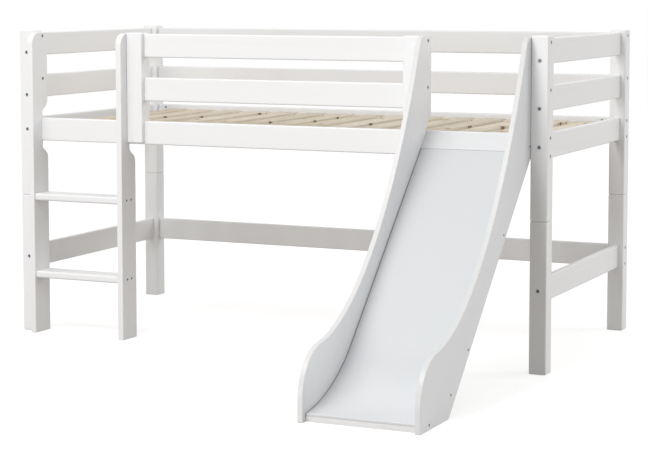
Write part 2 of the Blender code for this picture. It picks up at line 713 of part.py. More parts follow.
ledger_left = POST_SIDE + LEDGER_END_GAP
ledger_right = LENGTH - POST_SIDE - LEDGER_END_GAP
ledger_top = slat_bottom - CLEARANCE
tape_from_rail = LEDGER_WIDTH + TAPE_SETBACK
for side, rail_face, inward in (("front", rail_inner, 1), ("back", WIDTH - rail_inner, -1)):
    near = rail_face + inward * CLEARANCE
    edges = sorted((near, near + inward * LEDGER_WIDTH))
    low = (ledger_left, edges[0], ledger_top - LEDGER_HEIGHT)
    high = (ledger_right, edges[1], ledger_top)
    board(f"{side}_slat_ledger", low, high, "X", LEDGER_EASING, WHITE_LACQUER, END_EASING)

    near = rail_face + inward * tape_from_rail
    edges = sorted((near, near + inward * TAPE_WIDTH))
    low = (first_slat, edges[0], slat_bottom - CLEARANCE - TAPE_THICKNESS)
    high = (first_slat + slats_run, edges[1], slat_bottom - CLEARANCE)
    board(f"{side}_slat_tape", low, high, "X", TAPE_THICKNESS / 4, WOVEN_TAPE)
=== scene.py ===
import math

import bpy
from mathutils import Matrix, Vector


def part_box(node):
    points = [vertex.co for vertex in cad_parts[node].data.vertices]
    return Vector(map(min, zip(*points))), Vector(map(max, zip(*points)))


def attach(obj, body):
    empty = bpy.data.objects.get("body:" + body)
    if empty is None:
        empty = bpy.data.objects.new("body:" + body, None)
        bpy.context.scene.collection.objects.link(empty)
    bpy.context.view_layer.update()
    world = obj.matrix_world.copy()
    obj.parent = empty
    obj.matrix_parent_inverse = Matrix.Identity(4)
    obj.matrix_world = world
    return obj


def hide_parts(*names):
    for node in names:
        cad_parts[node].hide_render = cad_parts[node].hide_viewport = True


# A half-high bed with a ladder and a slide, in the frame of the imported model: metres, X along the bed,
# Y from its front to its back, Z up from the floor. The sections follow the bed as it is put together.
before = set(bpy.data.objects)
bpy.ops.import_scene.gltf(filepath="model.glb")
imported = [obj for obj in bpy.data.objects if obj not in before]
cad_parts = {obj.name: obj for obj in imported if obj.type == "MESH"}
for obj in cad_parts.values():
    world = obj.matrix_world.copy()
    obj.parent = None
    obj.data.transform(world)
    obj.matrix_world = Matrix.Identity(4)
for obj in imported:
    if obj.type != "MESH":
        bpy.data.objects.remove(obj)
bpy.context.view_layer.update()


# Posts and legs. They are square pine, planed round on every arris and sprayed white. Each upper post
# stands on a leg of the same section, so a fine groove runs round the corner where the two meet.
# Bolts go through them from two sides, with their heads sunk in round seats.
EASING_SEGMENTS = 4
SMOOTH_ANGLE = math.radians(35)
END_SHARE = 0.9
AXES = "XYZ"
CLEARANCE = 0.0003
OVERRUN = 0.010
HOLE_SIDES = 28
POST_EASING = 0.004
BOLT_HOLE = 0.007
BOLT_SEAT = (0.013, 0.005)
POST_BORE_DEPTH = 0.12
BOLT_EDGE_INSET = 0.0125
WHITE = (0.860, 0.864, 0.875)
PORE_TINT = (0.62, 0.60, 0.56)
SAWN_END_TINT = (0.62, 0.60, 0.57)
# Painted shade on the edges of broad boards.
EDGE_SHADE_TINT = (0.62, 0.61, 0.60)
CLOUD_SHADE = 0.985
GRAIN_ALONG = 1.4
GRAIN_ACROSS = 46
GRAIN_RELIEF = 0.00022
PEEL_RELIEF = 0.00002


class Term:
    """A socket in a formula. Each operator adds the Math node that works it out."""

    def __init__(self, finish, socket):
        self.finish = finish
        self.socket = socket

    def __add__(self, other):
        return self.finish.math("ADD", self, other)

    def __sub__(self, other):
        return self.finish.math("SUBTRACT", self, other)

    def __rsub__(self, other):
        return self.finish.math("SUBTRACT", other, self)

    def __mul__(self, other):
        return self.finish.math("MULTIPLY", self, other)

    def __truediv__(self, other):
        return self.finish.math("DIVIDE", self, other)

    def __pow__(self, other):
        return self.finish.math("POWER", self, other)

    def __abs__(self):
        return self.finish.math("ABSOLUTE", self)

    __radd__ = __add__
    __rmul__ = __mul__


class Finish:
    """A material in the making, with one method that adds any node to it."""

    def __init__(self, name, **constants):
        self.material = bpy.data.materials.new(name)
        self.material.use_nodes = True
        self.tree = self.material.node_tree
        self.shader = self.tree.nodes["Principled BSDF"]
        for socket, value in constants.items():
            self.shader.inputs[socket.replace("_", " ").title()].default_value = value

    def node(self, kind, settings=None, inputs=None, output=0):
        node = self.tree.nodes.new(kind)
        for setting, value in (settings or {}).items():
            setattr(node, setting, value)
        for socket, value in (inputs or {}).items():
            if isinstance(value, Term):
                self.tree.links.new(value.socket, node.inputs[socket])
            else:
                node.inputs[socket].default_value = value
        return Term(self, node.outputs[output])

    def math(self, operation, *values):
        return self.node("ShaderNodeMath", {"operation": operation}, dict(enumerate(values)))

    def vector_math(self, operation, *values, output="Vector"):
        return self.node("ShaderNodeVectorMath", {"operation": operation}, dict(enumerate(values)), output)

    def mix(self, share, first, second):
        """The first colour where share is 0, and the second where it is 1."""
        ends = [value if isinstance(value, Term) else (*value, 1) for value in (first, second)]
        settings = {"data_type": "RGBA"}
        return self.node("ShaderNodeMix", settings, {0: share, 6: ends[0], 7: ends[1]}, 2)

    def step(self, value, low, high):
        """0 below low and 1 above high, with a smooth rise between."""
        settings = {"interpolation_type": "SMOOTHSTEP"}
        inputs = {"Value": value, "From Min": low, "From Max": high}
        return self.node("ShaderNodeMapRange", settings, inputs)

    def place(self, scale=(1, 1, 1), turn=(0, 0, 0)):
        """Where the surface is on the piece, in metres, turned and then scaled."""
        spot = self.node("ShaderNodeTexCoord", output="Object")
        turned = self.node("ShaderNodeMapping", None, {"Vector": spot, "Rotation": turn})
        return self.vector_math("MULTIPLY", turned, scale)

    def noise(self, vector, scale, detail=3, roughness=0.5, distortion=0):
        inputs = {"Vector": vector, "Scale": scale, "Detail": detail, "Roughness": roughness}
        inputs["Distortion"] = distortion
        return self.node("ShaderNodeTexNoise", None, inputs)

    def bump(self, height, distance, below=None):
        inputs = {"Height": height, "Distance": distance}
        if below:
            inputs["Normal"] = below
        return self.node("ShaderNodeBump", None, inputs, "Normal")

    def feed(self, socket, term):
        self.tree.links.new(term.socket, self.shader.inputs[socket])


def facing(finish, axis):
    """How far a surface looks along an axis, either way: 0 on faces beside it and 1 on those across it."""
    direction = [float(letter == axis) for letter in AXES]
    normal = finish.node("ShaderNodeNewGeometry", output="Normal")
    return abs(finish.vector_math("DOT_PRODUCT", normal, direction, output="Value"))


def lacquer(name, grain, tilt=0, white=WHITE, broad_faces=None):
    """White lacquer sprayed on pine, whose grain along the axis still shows as a faint relief.

    If the axis that its broad faces look along is given, painted shade darkens the edges between them,
    most of all where they look up."""
    finish = Finish(name, metallic=0)
    stretch = [GRAIN_ALONG if letter == grain else GRAIN_ACROSS for letter in AXES]
    fibres = finish.noise(finish.place(stretch, (tilt, 0, 0)), 1, 6, 0.62, 0.4)
    growth = finish.noise(finish.place([value / 4 for value in stretch], (tilt, 0, 0)), 1, 3, 0.5, 0.8)
    clouds = finish.noise(finish.place(), 2.2, 2)
    peel = finish.noise(finish.place(), 520, 2)
    sawn_end = finish.step(facing(finish, grain), 0.8, 0.98)

    pores = finish.step(fibres, 0.52, 0.74)
    bands = finish.step(growth, 0.40, 0.70)
    even = finish.mix(clouds, white, [value * CLOUD_SHADE for value in white])
    grained = finish.mix(pores * 0.045 + bands * 0.03, even, PORE_TINT)
    coat = finish.mix(sawn_end * 0.05, grained, SAWN_END_TINT)
    # Painted shade: the edges between the broad faces are darkened, most of all where they look up.
    if broad_faces:
        shaded_edge = 1 - finish.step(facing(finish, broad_faces), 0.5, 0.9)
        upward_shade = finish.step(facing(finish, "Z"), 0.1, 0.4)
        coat = finish.mix(shaded_edge * (upward_shade * 0.4 + 0.26), coat, EDGE_SHADE_TINT)
    finish.feed("Base Color", coat)
    finish.feed("Roughness", 0.34 + pores * 0.08 + clouds * 0.06 + sawn_end * 0.14)
    relief = finish.bump(fibres * 0.7 + growth * 0.5, GRAIN_RELIEF)
    finish.feed("Normal", finish.bump(peel, PEEL_RELIEF, relief))
    return finish.material


def deselect():
    bpy.ops.object.select_all(action="DESELECT")


def select_edges(piece, wanted):
    """Goes into edit mode on the piece with only the wanted edges selected."""
    bpy.context.view_layer.objects.active = piece
    bpy.ops.object.mode_set(mode="EDIT")
    bpy.ops.mesh.select_mode(type="EDGE")
    bpy.ops.mesh.select_all(action="DESELECT")
    bpy.ops.object.mode_set(mode="OBJECT")
    points = piece.data.vertices
    for edge in piece.data.edges:
        edge.select = wanted(*(points[index].co for index in edge.vertices))
    bpy.ops.object.mode_set(mode="EDIT")


def select_faces(piece, wanted):
    """Goes into edit mode on the piece with only the wanted faces selected."""
    bpy.context.view_layer.objects.active = piece
    bpy.ops.object.mode_set(mode="EDIT")
    bpy.ops.mesh.select_mode(type="FACE")
    bpy.ops.mesh.select_all(action="DESELECT")
    bpy.ops.object.mode_set(mode="OBJECT")
    for face in piece.data.polygons:
        face.select = wanted(face.center, face.normal)
    bpy.ops.object.mode_set(mode="EDIT")


def round_selected(width, segments=EASING_SEGMENTS):
    bpy.ops.mesh.bevel(offset=width, segments=segments, profile=0.5, affect="EDGES")
    bpy.ops.object.mode_set(mode="OBJECT")


def planed_board(name, low, high, grain, easing, end_easing, turn=0):
    """A board between two corners, its long arrises rounded and its sawn ends broken, turned about X."""
    deselect()
    size = Vector(high) - Vector(low)
    middle = (Vector(high) + Vector(low)) / 2
    axis = AXES.index(grain)
    bpy.ops.mesh.primitive_cube_add(size=1, scale=size)
    board = bpy.context.object
    board.name = name
    bpy.ops.object.transform_apply(location=False, rotation=False, scale=True)
    along_grain = lambda first, second: abs(second[axis] - first[axis]) > size[axis] / 2
    if end_easing < easing:
        select_edges(board, along_grain)
        round_selected(easing)
        at_end = lambda first, second: first[axis] * second[axis] > (size[axis] / 2 * END_SHARE) ** 2
        select_edges(board, at_end)
        round_selected(end_easing, 2)
    else:
        select_edges(board, lambda first, second: True)
        round_selected(easing)
    board.location = middle
    board.rotation_euler.x = turn
    bpy.ops.object.transform_apply(location=True, rotation=True, scale=False)
    return board


def put_copies(model, name, places):
    """One object made of copies of the model, each at its mouth with the model's Z axis pointing in."""
    deselect()
    for mouth, way_in in places:
        copy = model.copy()
        copy.data = model.data.copy()
        bpy.context.collection.objects.link(copy)
        turn = Vector(way_in).to_track_quat("Z", "Y").to_matrix().to_4x4()
        copy.matrix_world = Matrix.Translation(mouth) @ turn
        copy.select_set(True)
        bpy.context.view_layer.objects.active = copy
    if len(places) > 1:
        bpy.ops.object.join()
    joined = bpy.context.view_layer.objects.active
    joined.name = name
    joined.hide_render = False
    bpy.ops.object.transform_apply(location=True, rotation=True, scale=True)
    return joined


def hole_model(name, steps):
    """The stepped body of a hole from the overrun above its mouth, for steps of diameter and depth."""
    deselect()
    diameter, depth = steps[0]
    length = depth + OVERRUN
    middle = (0, 0, (depth - OVERRUN) / 2)
    bpy.ops.mesh.primitive_cylinder_add(
        vertices=HOLE_SIDES, radius=diameter / 2, depth=length, location=middle
    )
    model = bpy.context.object
    model.name = name
    bpy.ops.object.transform_apply(location=True, rotation=False, scale=False)
    for narrower, deeper in steps[1:]:
        select_faces(model, lambda centre, normal: normal.z > END_SHARE and centre.z > depth - CLEARANCE)
        bpy.ops.mesh.inset(thickness=(diameter - narrower) / 2)
        bpy.ops.mesh.extrude_region_move(TRANSFORM_OT_translate={"value": (0, 0, deeper - depth)})
        bpy.ops.object.mode_set(mode="OBJECT")
    model.hide_render = True
    return model


def cut(piece, cutter):
    """Cuts one object out of another and deletes it."""
    deselect()
    cutting = piece.modifiers.new("cut", "BOOLEAN")
    cutting.operation = "DIFFERENCE"
    cutting.solver = "EXACT"
    cutting.object = cutter
    bpy.context.view_layer.objects.active = piece
    piece.select_set(True)
    bpy.ops.object.modifier_apply(modifier=cutting.name)
    bpy.data.objects.remove(cutter)


def drill(piece, model, places):
    if places:
        cut(piece, put_copies(model, piece.name + "_holes", places))


def settle(piece, material, node=None):
    """Shades the piece, gives it its finish and puts it in the bed, for its CAD node if it has one."""
    deselect()
    bpy.context.view_layer.objects.active = piece
    piece.select_set(True)
    bpy.ops.object.shade_smooth_by_angle(angle=SMOOTH_ANGLE)
    even = piece.modifiers.new("even", "WEIGHTED_NORMAL")
    even.weight = 100
    even.keep_sharp = True
    bpy.ops.object.modifier_apply(modifier=even.name)
    piece.data.materials.clear()
    piece.data.materials.append(material)
    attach(piece, "root")
    if node:
        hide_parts(node)


def levels_on(rail, *edges):
    """The heights of the bolts that hold a rail, near its low or high edge or at its middle."""
    low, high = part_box(rail)
    known = {
        "low": low.z + BOLT_EDGE_INSET,
        "middle": (low.z + high.z) / 2,
        "high": high.z - BOLT_EDGE_INSET,
    }
    return [known[edge] for edge in edges]


seated_hole = hole_model("seated_hole", (BOLT_SEAT, (BOLT_HOLE, POST_BORE_DEPTH)))
lacquer_upright = lacquer("white_lacquer_upright", "Z")
guard_levels = levels_on("back_middle_guard_rail", "high") + levels_on("back_top_guard_rail", "high")
post_bolts = {}
side_bolts = {}
for side in ("left", "right"):
    for depth in ("front", "back"):
        corner = f"{side}_{depth}"
        low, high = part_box(corner + "_upper_post")
        middle = (low + high) / 2
        outer_x, into_x = (low.x, 1) if side == "left" else (high.x, -1)
        outer_y, into_y = (low.y, 1) if depth == "front" else (high.y, -1)
        lengthwise = {"upper_post": levels_on(f"{depth}_bed_rail", "low", "high"), "leg": []}
        guards = [((outer_x, middle.y, level), (into_x, 0, 0)) for level in guard_levels]
        if depth == "back":
            lengthwise["leg"] = levels_on("back_lower_rail", "low", "high")
        crosswise = {
            "upper_post": levels_on(f"{side}_end_bed_rail", "middle")
            + levels_on(f"{side}_end_middle_rail", "low")
            + levels_on(f"{side}_end_top_rail", "low"),
            "leg": levels_on(f"{side}_end_lower_rail", "middle"),
        }
        for part in ("upper_post", "leg"):
            node = f"{corner}_{part}"
            places = [((outer_x, middle.y, level), (into_x, 0, 0)) for level in lengthwise[part]]
            places += [((middle.x, outer_y, level), (0, into_y, 0)) for level in crosswise[part]]
            post = planed_board(node + "_wood", *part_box(node), "Z", POST_EASING, POST_EASING)
            post_bolts[node] = places
            if part == "upper_post" and depth == "back":
                post_bolts[node] = places + guards
            elif part == "upper_post":
                side_bolts[node] = guards
            drill(post, seated_hole, post_bolts[node] + side_bolts.get(node, []))
            settle(post, lacquer_upright, node)


# Dowels. A turned beech pin stands half in each upper post and half in its leg and keeps the two in line.
# It is bare wood, out of sight once the bed is up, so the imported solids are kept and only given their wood.
PALE_BEECH = (0.62, 0.44, 0.29)
DEEP_BEECH = (0.52, 0.34, 0.21)
BEECH_FLECK = (0.36, 0.22, 0.13)
BEECH_RELIEF = 0.0001


def beech(name):
    finish = Finish(name, metallic=0)
    rays = finish.noise(finish.place((700, 700, 60)), 1, 3)
    growth = finish.noise(finish.place((90, 90, 4)), 1, 4, 0.6)
    flecks = finish.step(rays, 0.58, 0.72)
    straw = finish.mix(growth, PALE_BEECH, DEEP_BEECH)
    finish.feed("Base Color", finish.mix(flecks * 0.5, straw, BEECH_FLECK))
    finish.feed("Roughness", 0.52 + growth * 0.12)
    finish.feed("Normal", finish.bump(rays + growth, BEECH_RELIEF))
    return finish.material


bare_beech = beech("bare_beech")
for name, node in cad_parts.items():
    if name.endswith("_leg_dowel"):
        node.data.materials.clear()
        node.data.materials.append(bare_beech)


# Machine bolts. Dark zinc-plated socket heads lie just under the face of the wood, each in its round seat,
# and the shanks run through into the cross nuts. The bolts that hold the ladder and the slide to the corner
# posts are short and end in sleeve nuts, and those that reach the front guard rails are long.
HEAD_RADIUS = 0.0061
HEAD_TOP = 0.0013
HEAD_EASING = 0.0012
HEAD_SEGMENTS = 3
HEX_SIDES = 6
SOCKET_RADIUS = 0.0027
SOCKET_DEPTH = 0.0026
SHANK_RADIUS = 0.0030
RAIL_BOLT_LENGTH = 0.098
SIDE_BOLT_LENGTH = 0.054
GUARD_BOLT_LENGTH = 0.118
SLEEVE_RADIUS = 0.0033
SLEEVE_LENGTH = 0.014
BOLT_ZINC = (0.21, 0.21, 0.22)
BLOOM_SHADE = 0.78
TURNING_RELIEF = 0.00001


def zinc(name, colour):
    """Plating with fine turning marks and a slight cloudy bloom."""
    finish = Finish(name, metallic=1)
    bloom = finish.noise(finish.place(), 160, 3)
    marks = finish.noise(finish.place((1400, 1400, 1400)), 1, 2)
    finish.feed("Base Color", finish.mix(bloom, colour, [value * BLOOM_SHADE for value in colour]))
    finish.feed("Roughness", 0.34 + bloom * 0.12 + marks * 0.08)
    finish.feed("Normal", finish.bump(marks, TURNING_RELIEF))
    return finish.material


def head_with_shank(name, radius, top, seat, shank_radius, length, easing):
    """A round head from its top down to its seat, with a shank under it. Z points in."""
    deselect()
    middle = (0, 0, (top + seat) / 2)
    bpy.ops.mesh.primitive_cylinder_add(
        vertices=HOLE_SIDES, radius=radius, depth=seat - top, location=middle
    )
    model = bpy.context.object
    model.name = name
    bpy.ops.object.transform_apply(location=True, rotation=False, scale=False)
    select_edges(model, lambda first, second: max(first.z, second.z) < (top + seat) / 2)
    round_selected(easing, HEAD_SEGMENTS)
    select_faces(model, lambda centre, normal: normal.z > END_SHARE)
    bpy.ops.mesh.inset(thickness=radius - shank_radius)
    bpy.ops.mesh.extrude_region_move(TRANSFORM_OT_translate={"value": (0, 0, length)})
    bpy.ops.object.mode_set(mode="OBJECT")
    return model


def socket_bolt(name, shank_radius, length):
    """A bolt or a sleeve nut with a hexagon socket in its head, to be copied."""
    seat = BOLT_SEAT[1] - CLEARANCE / 3
    model = head_with_shank(name, HEAD_RADIUS, HEAD_TOP, seat, shank_radius, length, HEAD_EASING)
    deselect()
    bpy.ops.mesh.primitive_cylinder_add(
        vertices=HEX_SIDES, radius=SOCKET_RADIUS, depth=SOCKET_DEPTH * 2, location=(0, 0, HEAD_TOP)
    )
    cut(model, bpy.context.object)
    model.hide_render = True
    return model


rail_bolt = socket_bolt("rail_bolt", SHANK_RADIUS, RAIL_BOLT_LENGTH)
side_bolt = socket_bolt("side_bolt", SHANK_RADIUS, SIDE_BOLT_LENGTH)
guard_bolt = socket_bolt("guard_bolt", SHANK_RADIUS, GUARD_BOLT_LENGTH)
sleeve_nut = socket_bolt("sleeve_nut", SLEEVE_RADIUS, SLEEVE_LENGTH)
bolt_plating = zinc("bolt_plating", BOLT_ZINC)
for node, places in post_bolts.items():
    settle(put_copies(rail_bolt, node + "_bolts", places), bolt_plating)
for node, places in side_bolts.items():
    settle(put_copies(side_bolt, node + "_side_bolts", places), bolt_plating)


# Rails. Boards of the same lacquered pine, with well rounded edges and ends that are only just broken.
# Their ends are bored for the bolts, and one face for the round cross nuts that the bolts screw into. It is
# the inner face, except on the back lower and guard rails and on the left end's lower rail.
RAIL_EASING = 0.005
RAIL_END_EASING = 0.001
BOLT_REACH = 0.045
NUT_BORE = (0.010, 0.016)
NUT_SETBACK = 0.034
NUT_RADIUS = 0.0047
NUT_TOP = 0.0008
NUT_EASING = 0.0004
NUT_SLOT = (0.012, 0.0016, 0.0024)
NUT_ZINC = (0.36, 0.36, 0.37)
# Painted shade: the back rails take a greyer copy of the white lacquer, for the shade that falls on them
# behind the front rails.
SHADED_BACK_RAIL_WHITE = (0.785, 0.788, 0.797)

nut_hole = hole_model("nut_hole", (NUT_BORE,))
end_bore = hole_model("end_bore", ((BOLT_HOLE, BOLT_REACH),))

deselect()
nut_middle = (NUT_TOP + NUT_BORE[1]) / 2
nut_length = NUT_BORE[1] - NUT_TOP - CLEARANCE
bpy.ops.mesh.primitive_cylinder_add(
    vertices=HOLE_SIDES, radius=NUT_RADIUS, depth=nut_length, location=(0, 0, nut_middle)
)
nut_model = bpy.context.object
nut_model.name = "nut_model"
bpy.ops.object.transform_apply(location=True, rotation=False, scale=False)
select_edges(nut_model, lambda first, second: abs(first.z - second.z) < CLEARANCE)
round_selected(NUT_EASING, 2)
deselect()
bpy.ops.mesh.primitive_cube_add(size=1, scale=NUT_SLOT, location=(0, 0, NUT_TOP))
cut(nut_model, bpy.context.object)
nut_model.hide_render = True

nut_plating = zinc("nut_plating", NUT_ZINC)
lacquer_lengthwise = lacquer("white_lacquer_lengthwise", "X")
lacquer_crosswise = lacquer("white_lacquer_crosswise", "Y")
# The greyer copy of the lacquer that paints shade on the back rails.
shaded_back_rail_lacquer = lacquer("shaded_back_rail_lacquer", "X", white=SHADED_BACK_RAIL_WHITE)


def bored_rail(node, grain, nut_face, way_to_nut, levels, material):
    """A rail with its bores and its cross nuts. The nut face is where the nuts go in."""
    low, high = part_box(node)
    rail = planed_board(node + "_wood", low, high, grain, RAIL_EASING, RAIL_END_EASING)
    axis = AXES.index(grain)
    across = 1 - axis
    ends = []
    nuts = []
    for end, inward in ((low[axis], 1), (high[axis], -1)):
        for level in levels:
            mouth = Vector((0, 0, level))
            mouth[axis] = end
            mouth[across] = (low[across] + high[across]) / 2
            way_in = Vector((0, 0, 0))
            way_in[axis] = inward
            ends.append((mouth.copy(), way_in))
            mouth[axis] = end + inward * NUT_SETBACK
            mouth[across] = nut_face
            nuts.append((mouth, way_to_nut))
    drill(rail, end_bore, ends)
    drill(rail, nut_hole, nuts)
    settle(rail, material, node)
    settle(put_copies(nut_model, node + "_cross_nuts", nuts), nut_plating)


bed_middle = (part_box("left_front_upper_post")[0].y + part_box("left_back_upper_post")[1].y) / 2


def long_rail(node, *edges, material=lacquer_lengthwise, nuts_outside=False):
    low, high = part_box(node)
    at_back = low.y > bed_middle
    nut_face, way = (low.y, (0, 1, 0)) if at_back != nuts_outside else (high.y, (0, -1, 0))
    bored_rail(node, "X", nut_face, way, levels_on(node, *edges), material)


def end_rail(node, *edges, nuts_outside=False):
    low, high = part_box(node)
    at_right = low.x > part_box("back_bed_rail")[0].x
    nut_face, way = (low.x, (1, 0, 0)) if at_right != nuts_outside else (high.x, (-1, 0, 0))
    bored_rail(node, "Y", nut_face, way, levels_on(node, *edges), lacquer_crosswise)


long_rail("back_lower_rail", "low", "high", nuts_outside=True)
long_rail("front_bed_rail", "low", "high")
long_rail("back_bed_rail", "low", "high", material=shaded_back_rail_lacquer)
for level in ("middle", "top"):
    long_rail(f"front_{level}_guard_rail", "high")
    long_rail(f"back_{level}_guard_rail", "high", material=shaded_back_rail_lacquer, nuts_outside=True)
for side in ("left", "right"):
    end_rail(f"{side}_end_lower_rail", "middle", nuts_outside=side == "left")
    end_rail(f"{side}_end_bed_rail", "middle")
    end_rail(f"{side}_end_middle_rail", "low")
    end_rail(f"{side}_end_top_rail", "low")


# Slat ledgers. A lacquered strip is fixed along the inner face of each long bed rail and carries the slats.
# Small blocks of bare pine glued on it keep the slats apart.
LEDGER_EASING = 0.003
SPACER_EASING = 0.0012
SPACER_DROP = 0.0022
SPACER_PLAY = 0.0012
SPACER_SLIT = 0.0125
RING_PITCH = 0.0046
RING_SOFTNESS = 0.010
WILD_KNOT_CELL = (0.21, 0.33)
WILD_KNOT_RADIUS = 0.0075
WILD_KNOT_SQUEEZE = 0.62
KNOT_SQUEEZE = 0.7
KNOT_HALO = 2.4
KNOT_SWIRL = 4.5
PALE_STRAW = (0.77, 0.72, 0.61)
DEEP_STRAW = (0.57, 0.52, 0.40)
BLUSH = (0.74, 0.63, 0.53)
STREAK = (0.49, 0.39, 0.27)
LATE_WOOD = (0.50, 0.36, 0.21)
FIBRE = (0.47, 0.36, 0.23)
# Painted light on the long edges.
EDGE_PAINTED_LIGHT = (0.86, 0.80, 0.66)
# Darker end grain, deepened into painted shade.
END_GRAIN_AND_SHADE = (0.19, 0.13, 0.08)
KNOT_RIM = (0.40, 0.23, 0.11)
KNOT_CORE = (0.060, 0.032, 0.017)
PINE_RELIEF = 0.00018


def stretched_distance(finish, here, there, stretch):
    """How far one place is from another, with each axis stretched by its own factor."""
    gap = finish.vector_math("SUBTRACT", here, there)
    return finish.vector_math("LENGTH", finish.vector_math("MULTIPLY", gap, stretch), output="Value")


def bare_pine(name, grain, first_edge, pitch, knots=()):
    """Planed softwood for boards laid side by side from the first edge, each with its own tone and rings.

    Knots of these places and radii, and wild ones, have a dark core with the rings swirling round it."""
    finish = Finish(name, metallic=0)
    axis = AXES.index(grain)
    spot = finish.place()
    across = finish.node("ShaderNodeSeparateXYZ", None, {"Vector": spot}, AXES[1 - axis])
    boards = (across - first_edge) / pitch
    number = finish.math("FLOOR", boards)
    noise_settings = {"noise_dimensions": "1D"}
    tone = finish.node("ShaderNodeTexWhiteNoise", noise_settings, {"W": number + 0.5}, "Value")
    blush = finish.node("ShaderNodeTexWhiteNoise", noise_settings, {"W": number + 40.5}, "Value")

    drift = finish.noise(finish.place([1.6 if index == axis else 7 for index in range(3)]), 1, 2, 0.5)
    wander = finish.noise(finish.place([9 if index == axis else 60 for index in range(3)]), 1, 3, 0.6)
    fibres = finish.noise(finish.place([14 if index == axis else 900 for index in range(3)]), 1, 3, 0.6)
    streaks = finish.noise(finish.place([1.1 if index == axis else 42 for index in range(3)]), 1, 5, 0.65)

    cell = [1 / WILD_KNOT_CELL[int(index == axis)] for index in range(3)]
    scatter = finish.place(cell)
    wild_settings = {"voronoi_dimensions": "2D", "feature": "F1"}
    seed = finish.node("ShaderNodeTexVoronoi", wild_settings, {"Vector": scatter, "Scale": 1}, "Position")
    squeeze = [(WILD_KNOT_SQUEEZE if index == axis else 1) / cell[index] for index in (0, 1)] + [0]
    nearest = stretched_distance(finish, scatter, seed, squeeze) / WILD_KNOT_RADIUS
    for place, radius in knots:
        squeeze = [(KNOT_SQUEEZE if index == axis else 1) / radius for index in range(3)]
        nearest = finish.math("MINIMUM", stretched_distance(finish, spot, place, squeeze), nearest)

    heart = (boards - number - 0.12 - tone * 0.4) * pitch
    depth = RING_SOFTNESS + drift * 0.07
    radius = (heart * heart + depth * depth) ** 0.5
    swirl = 1 - finish.step(nearest, 0, KNOT_HALO * 1.5)
    rings = (radius + wander * 0.006) / RING_PITCH + swirl * KNOT_SWIRL
    wave = finish.math("FRACT", rings)
    late = finish.step(wave, 0.45, 0.92) * (1 - finish.step(wave, 0.94, 1.0))

    straw = finish.mix(tone, PALE_STRAW, DEEP_STRAW)
    warm = finish.mix(blush * 0.6, straw, BLUSH)
    streaked = finish.mix(finish.step(streaks, 0.46, 0.66) * 0.62, warm, STREAK)
    ringed = finish.mix(late * 0.42, streaked, LATE_WOOD)
    colour = finish.mix(finish.step(fibres, 0.5, 0.8) * 0.22, ringed, FIBRE)
    ragged = nearest + fibres * 0.3 + wander * 0.25
    halo = 1 - finish.step(nearest, 1, KNOT_HALO)
    core = 1 - finish.step(ragged, 0.95, 1.3)
    lit_long_edge = finish.step(facing(finish, AXES[1 - axis]), 0.8, 0.98)
    sawn_end = finish.step(facing(finish, grain), 0.8, 0.98)
    # Painted light: the long edges are made paler, to lift the shade on them in the gaps between the boards.
    colour = finish.mix(lit_long_edge * 0.7, colour, EDGE_PAINTED_LIGHT)
    # The sawn ends are darker end grain, and this deep brown also paints shade on the spacers' ends in the
    # slits between the slats.
    colour = finish.mix(sawn_end * 0.8, colour, END_GRAIN_AND_SHADE)
    colour = finish.mix(halo * 0.55, colour, KNOT_RIM)
    colour = finish.mix(core * 0.93, colour, KNOT_CORE)
    finish.feed("Base Color", colour)
    finish.feed("Roughness", 0.56 + fibres * 0.14 - core * 0.12)
    finish.feed("Normal", finish.bump(late * 0.6 + fibres * 0.5 - core * 0.8, PINE_RELIEF))
    return finish.material


slat_boxes = [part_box(node) for node in sorted(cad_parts) if node.startswith("slat_")]
slat_width = slat_boxes[0][1].x - slat_boxes[0][0].x
slat_pitch = slat_boxes[1][0].x - slat_boxes[0][0].x
slat_top = slat_boxes[0][1].z

for depth in ("front", "back"):
    node = f"{depth}_slat_ledger"
    low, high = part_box(node)
    block_pine = bare_pine(f"{depth}_block_pine", "X", low.y, high.y - low.y)
    ledger = planed_board(node + "_wood", low, high, "X", LEDGER_EASING, RAIL_END_EASING)
    settle(ledger, lacquer_lengthwise, node)
    reach = (slat_pitch - slat_width - SPACER_PLAY - SPACER_SLIT) / 2
    half_depth = (high.y - low.y) / 2
    bottom = (-reach, -half_depth, 0)
    top = (reach, half_depth, slat_top - SPACER_DROP - high.z)
    spacer = planed_board(f"{depth}_spacer", bottom, top, "X", SPACER_EASING, SPACER_EASING)
    places = []
    for box in slat_boxes[:-1]:
        places.append(((box[1].x + SPACER_PLAY + reach, low.y + half_depth, high.z), (0, 0, 1)))
    settle(put_copies(spacer, f"{depth}_slat_spacers", places), block_pine)
    bpy.data.objects.remove(spacer)


# Short posts. They stand on the front bed rail beside the ladder and the slide, and a tongue laps down over
# the rail's face. The bolts of the ladder and the slide go through them into the front guard rails.
SHORT_POST_BORE_DEPTH = 0.09

through_hole = hole_model("through_hole", ((BOLT_HOLE, SHORT_POST_BORE_DEPTH),))
bed_rail_low, bed_rail_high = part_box("front_bed_rail")
rail_front = bed_rail_low.y - CLEARANCE

for side in ("left", "right"):
    node = f"{side}_short_post"
    low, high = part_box(node)
    post = planed_board(node + "_wood", low, high, "Z", POST_EASING, POST_EASING)
    lap_low = Vector((low.x - OVERRUN, rail_front, low.z - OVERRUN))
    lap_high = Vector((high.x + OVERRUN, high.y + OVERRUN, bed_rail_high.z + CLEARANCE))
    deselect()
    bpy.ops.mesh.primitive_cube_add(size=1, scale=lap_high - lap_low, location=(lap_low + lap_high) / 2)
    cut(post, bpy.context.object)
    drill(post, through_hole, [((low.x, (low.y + high.y) / 2, level), (1, 0, 0)) for level in guard_levels])
    settle(post, lacquer_upright, node)


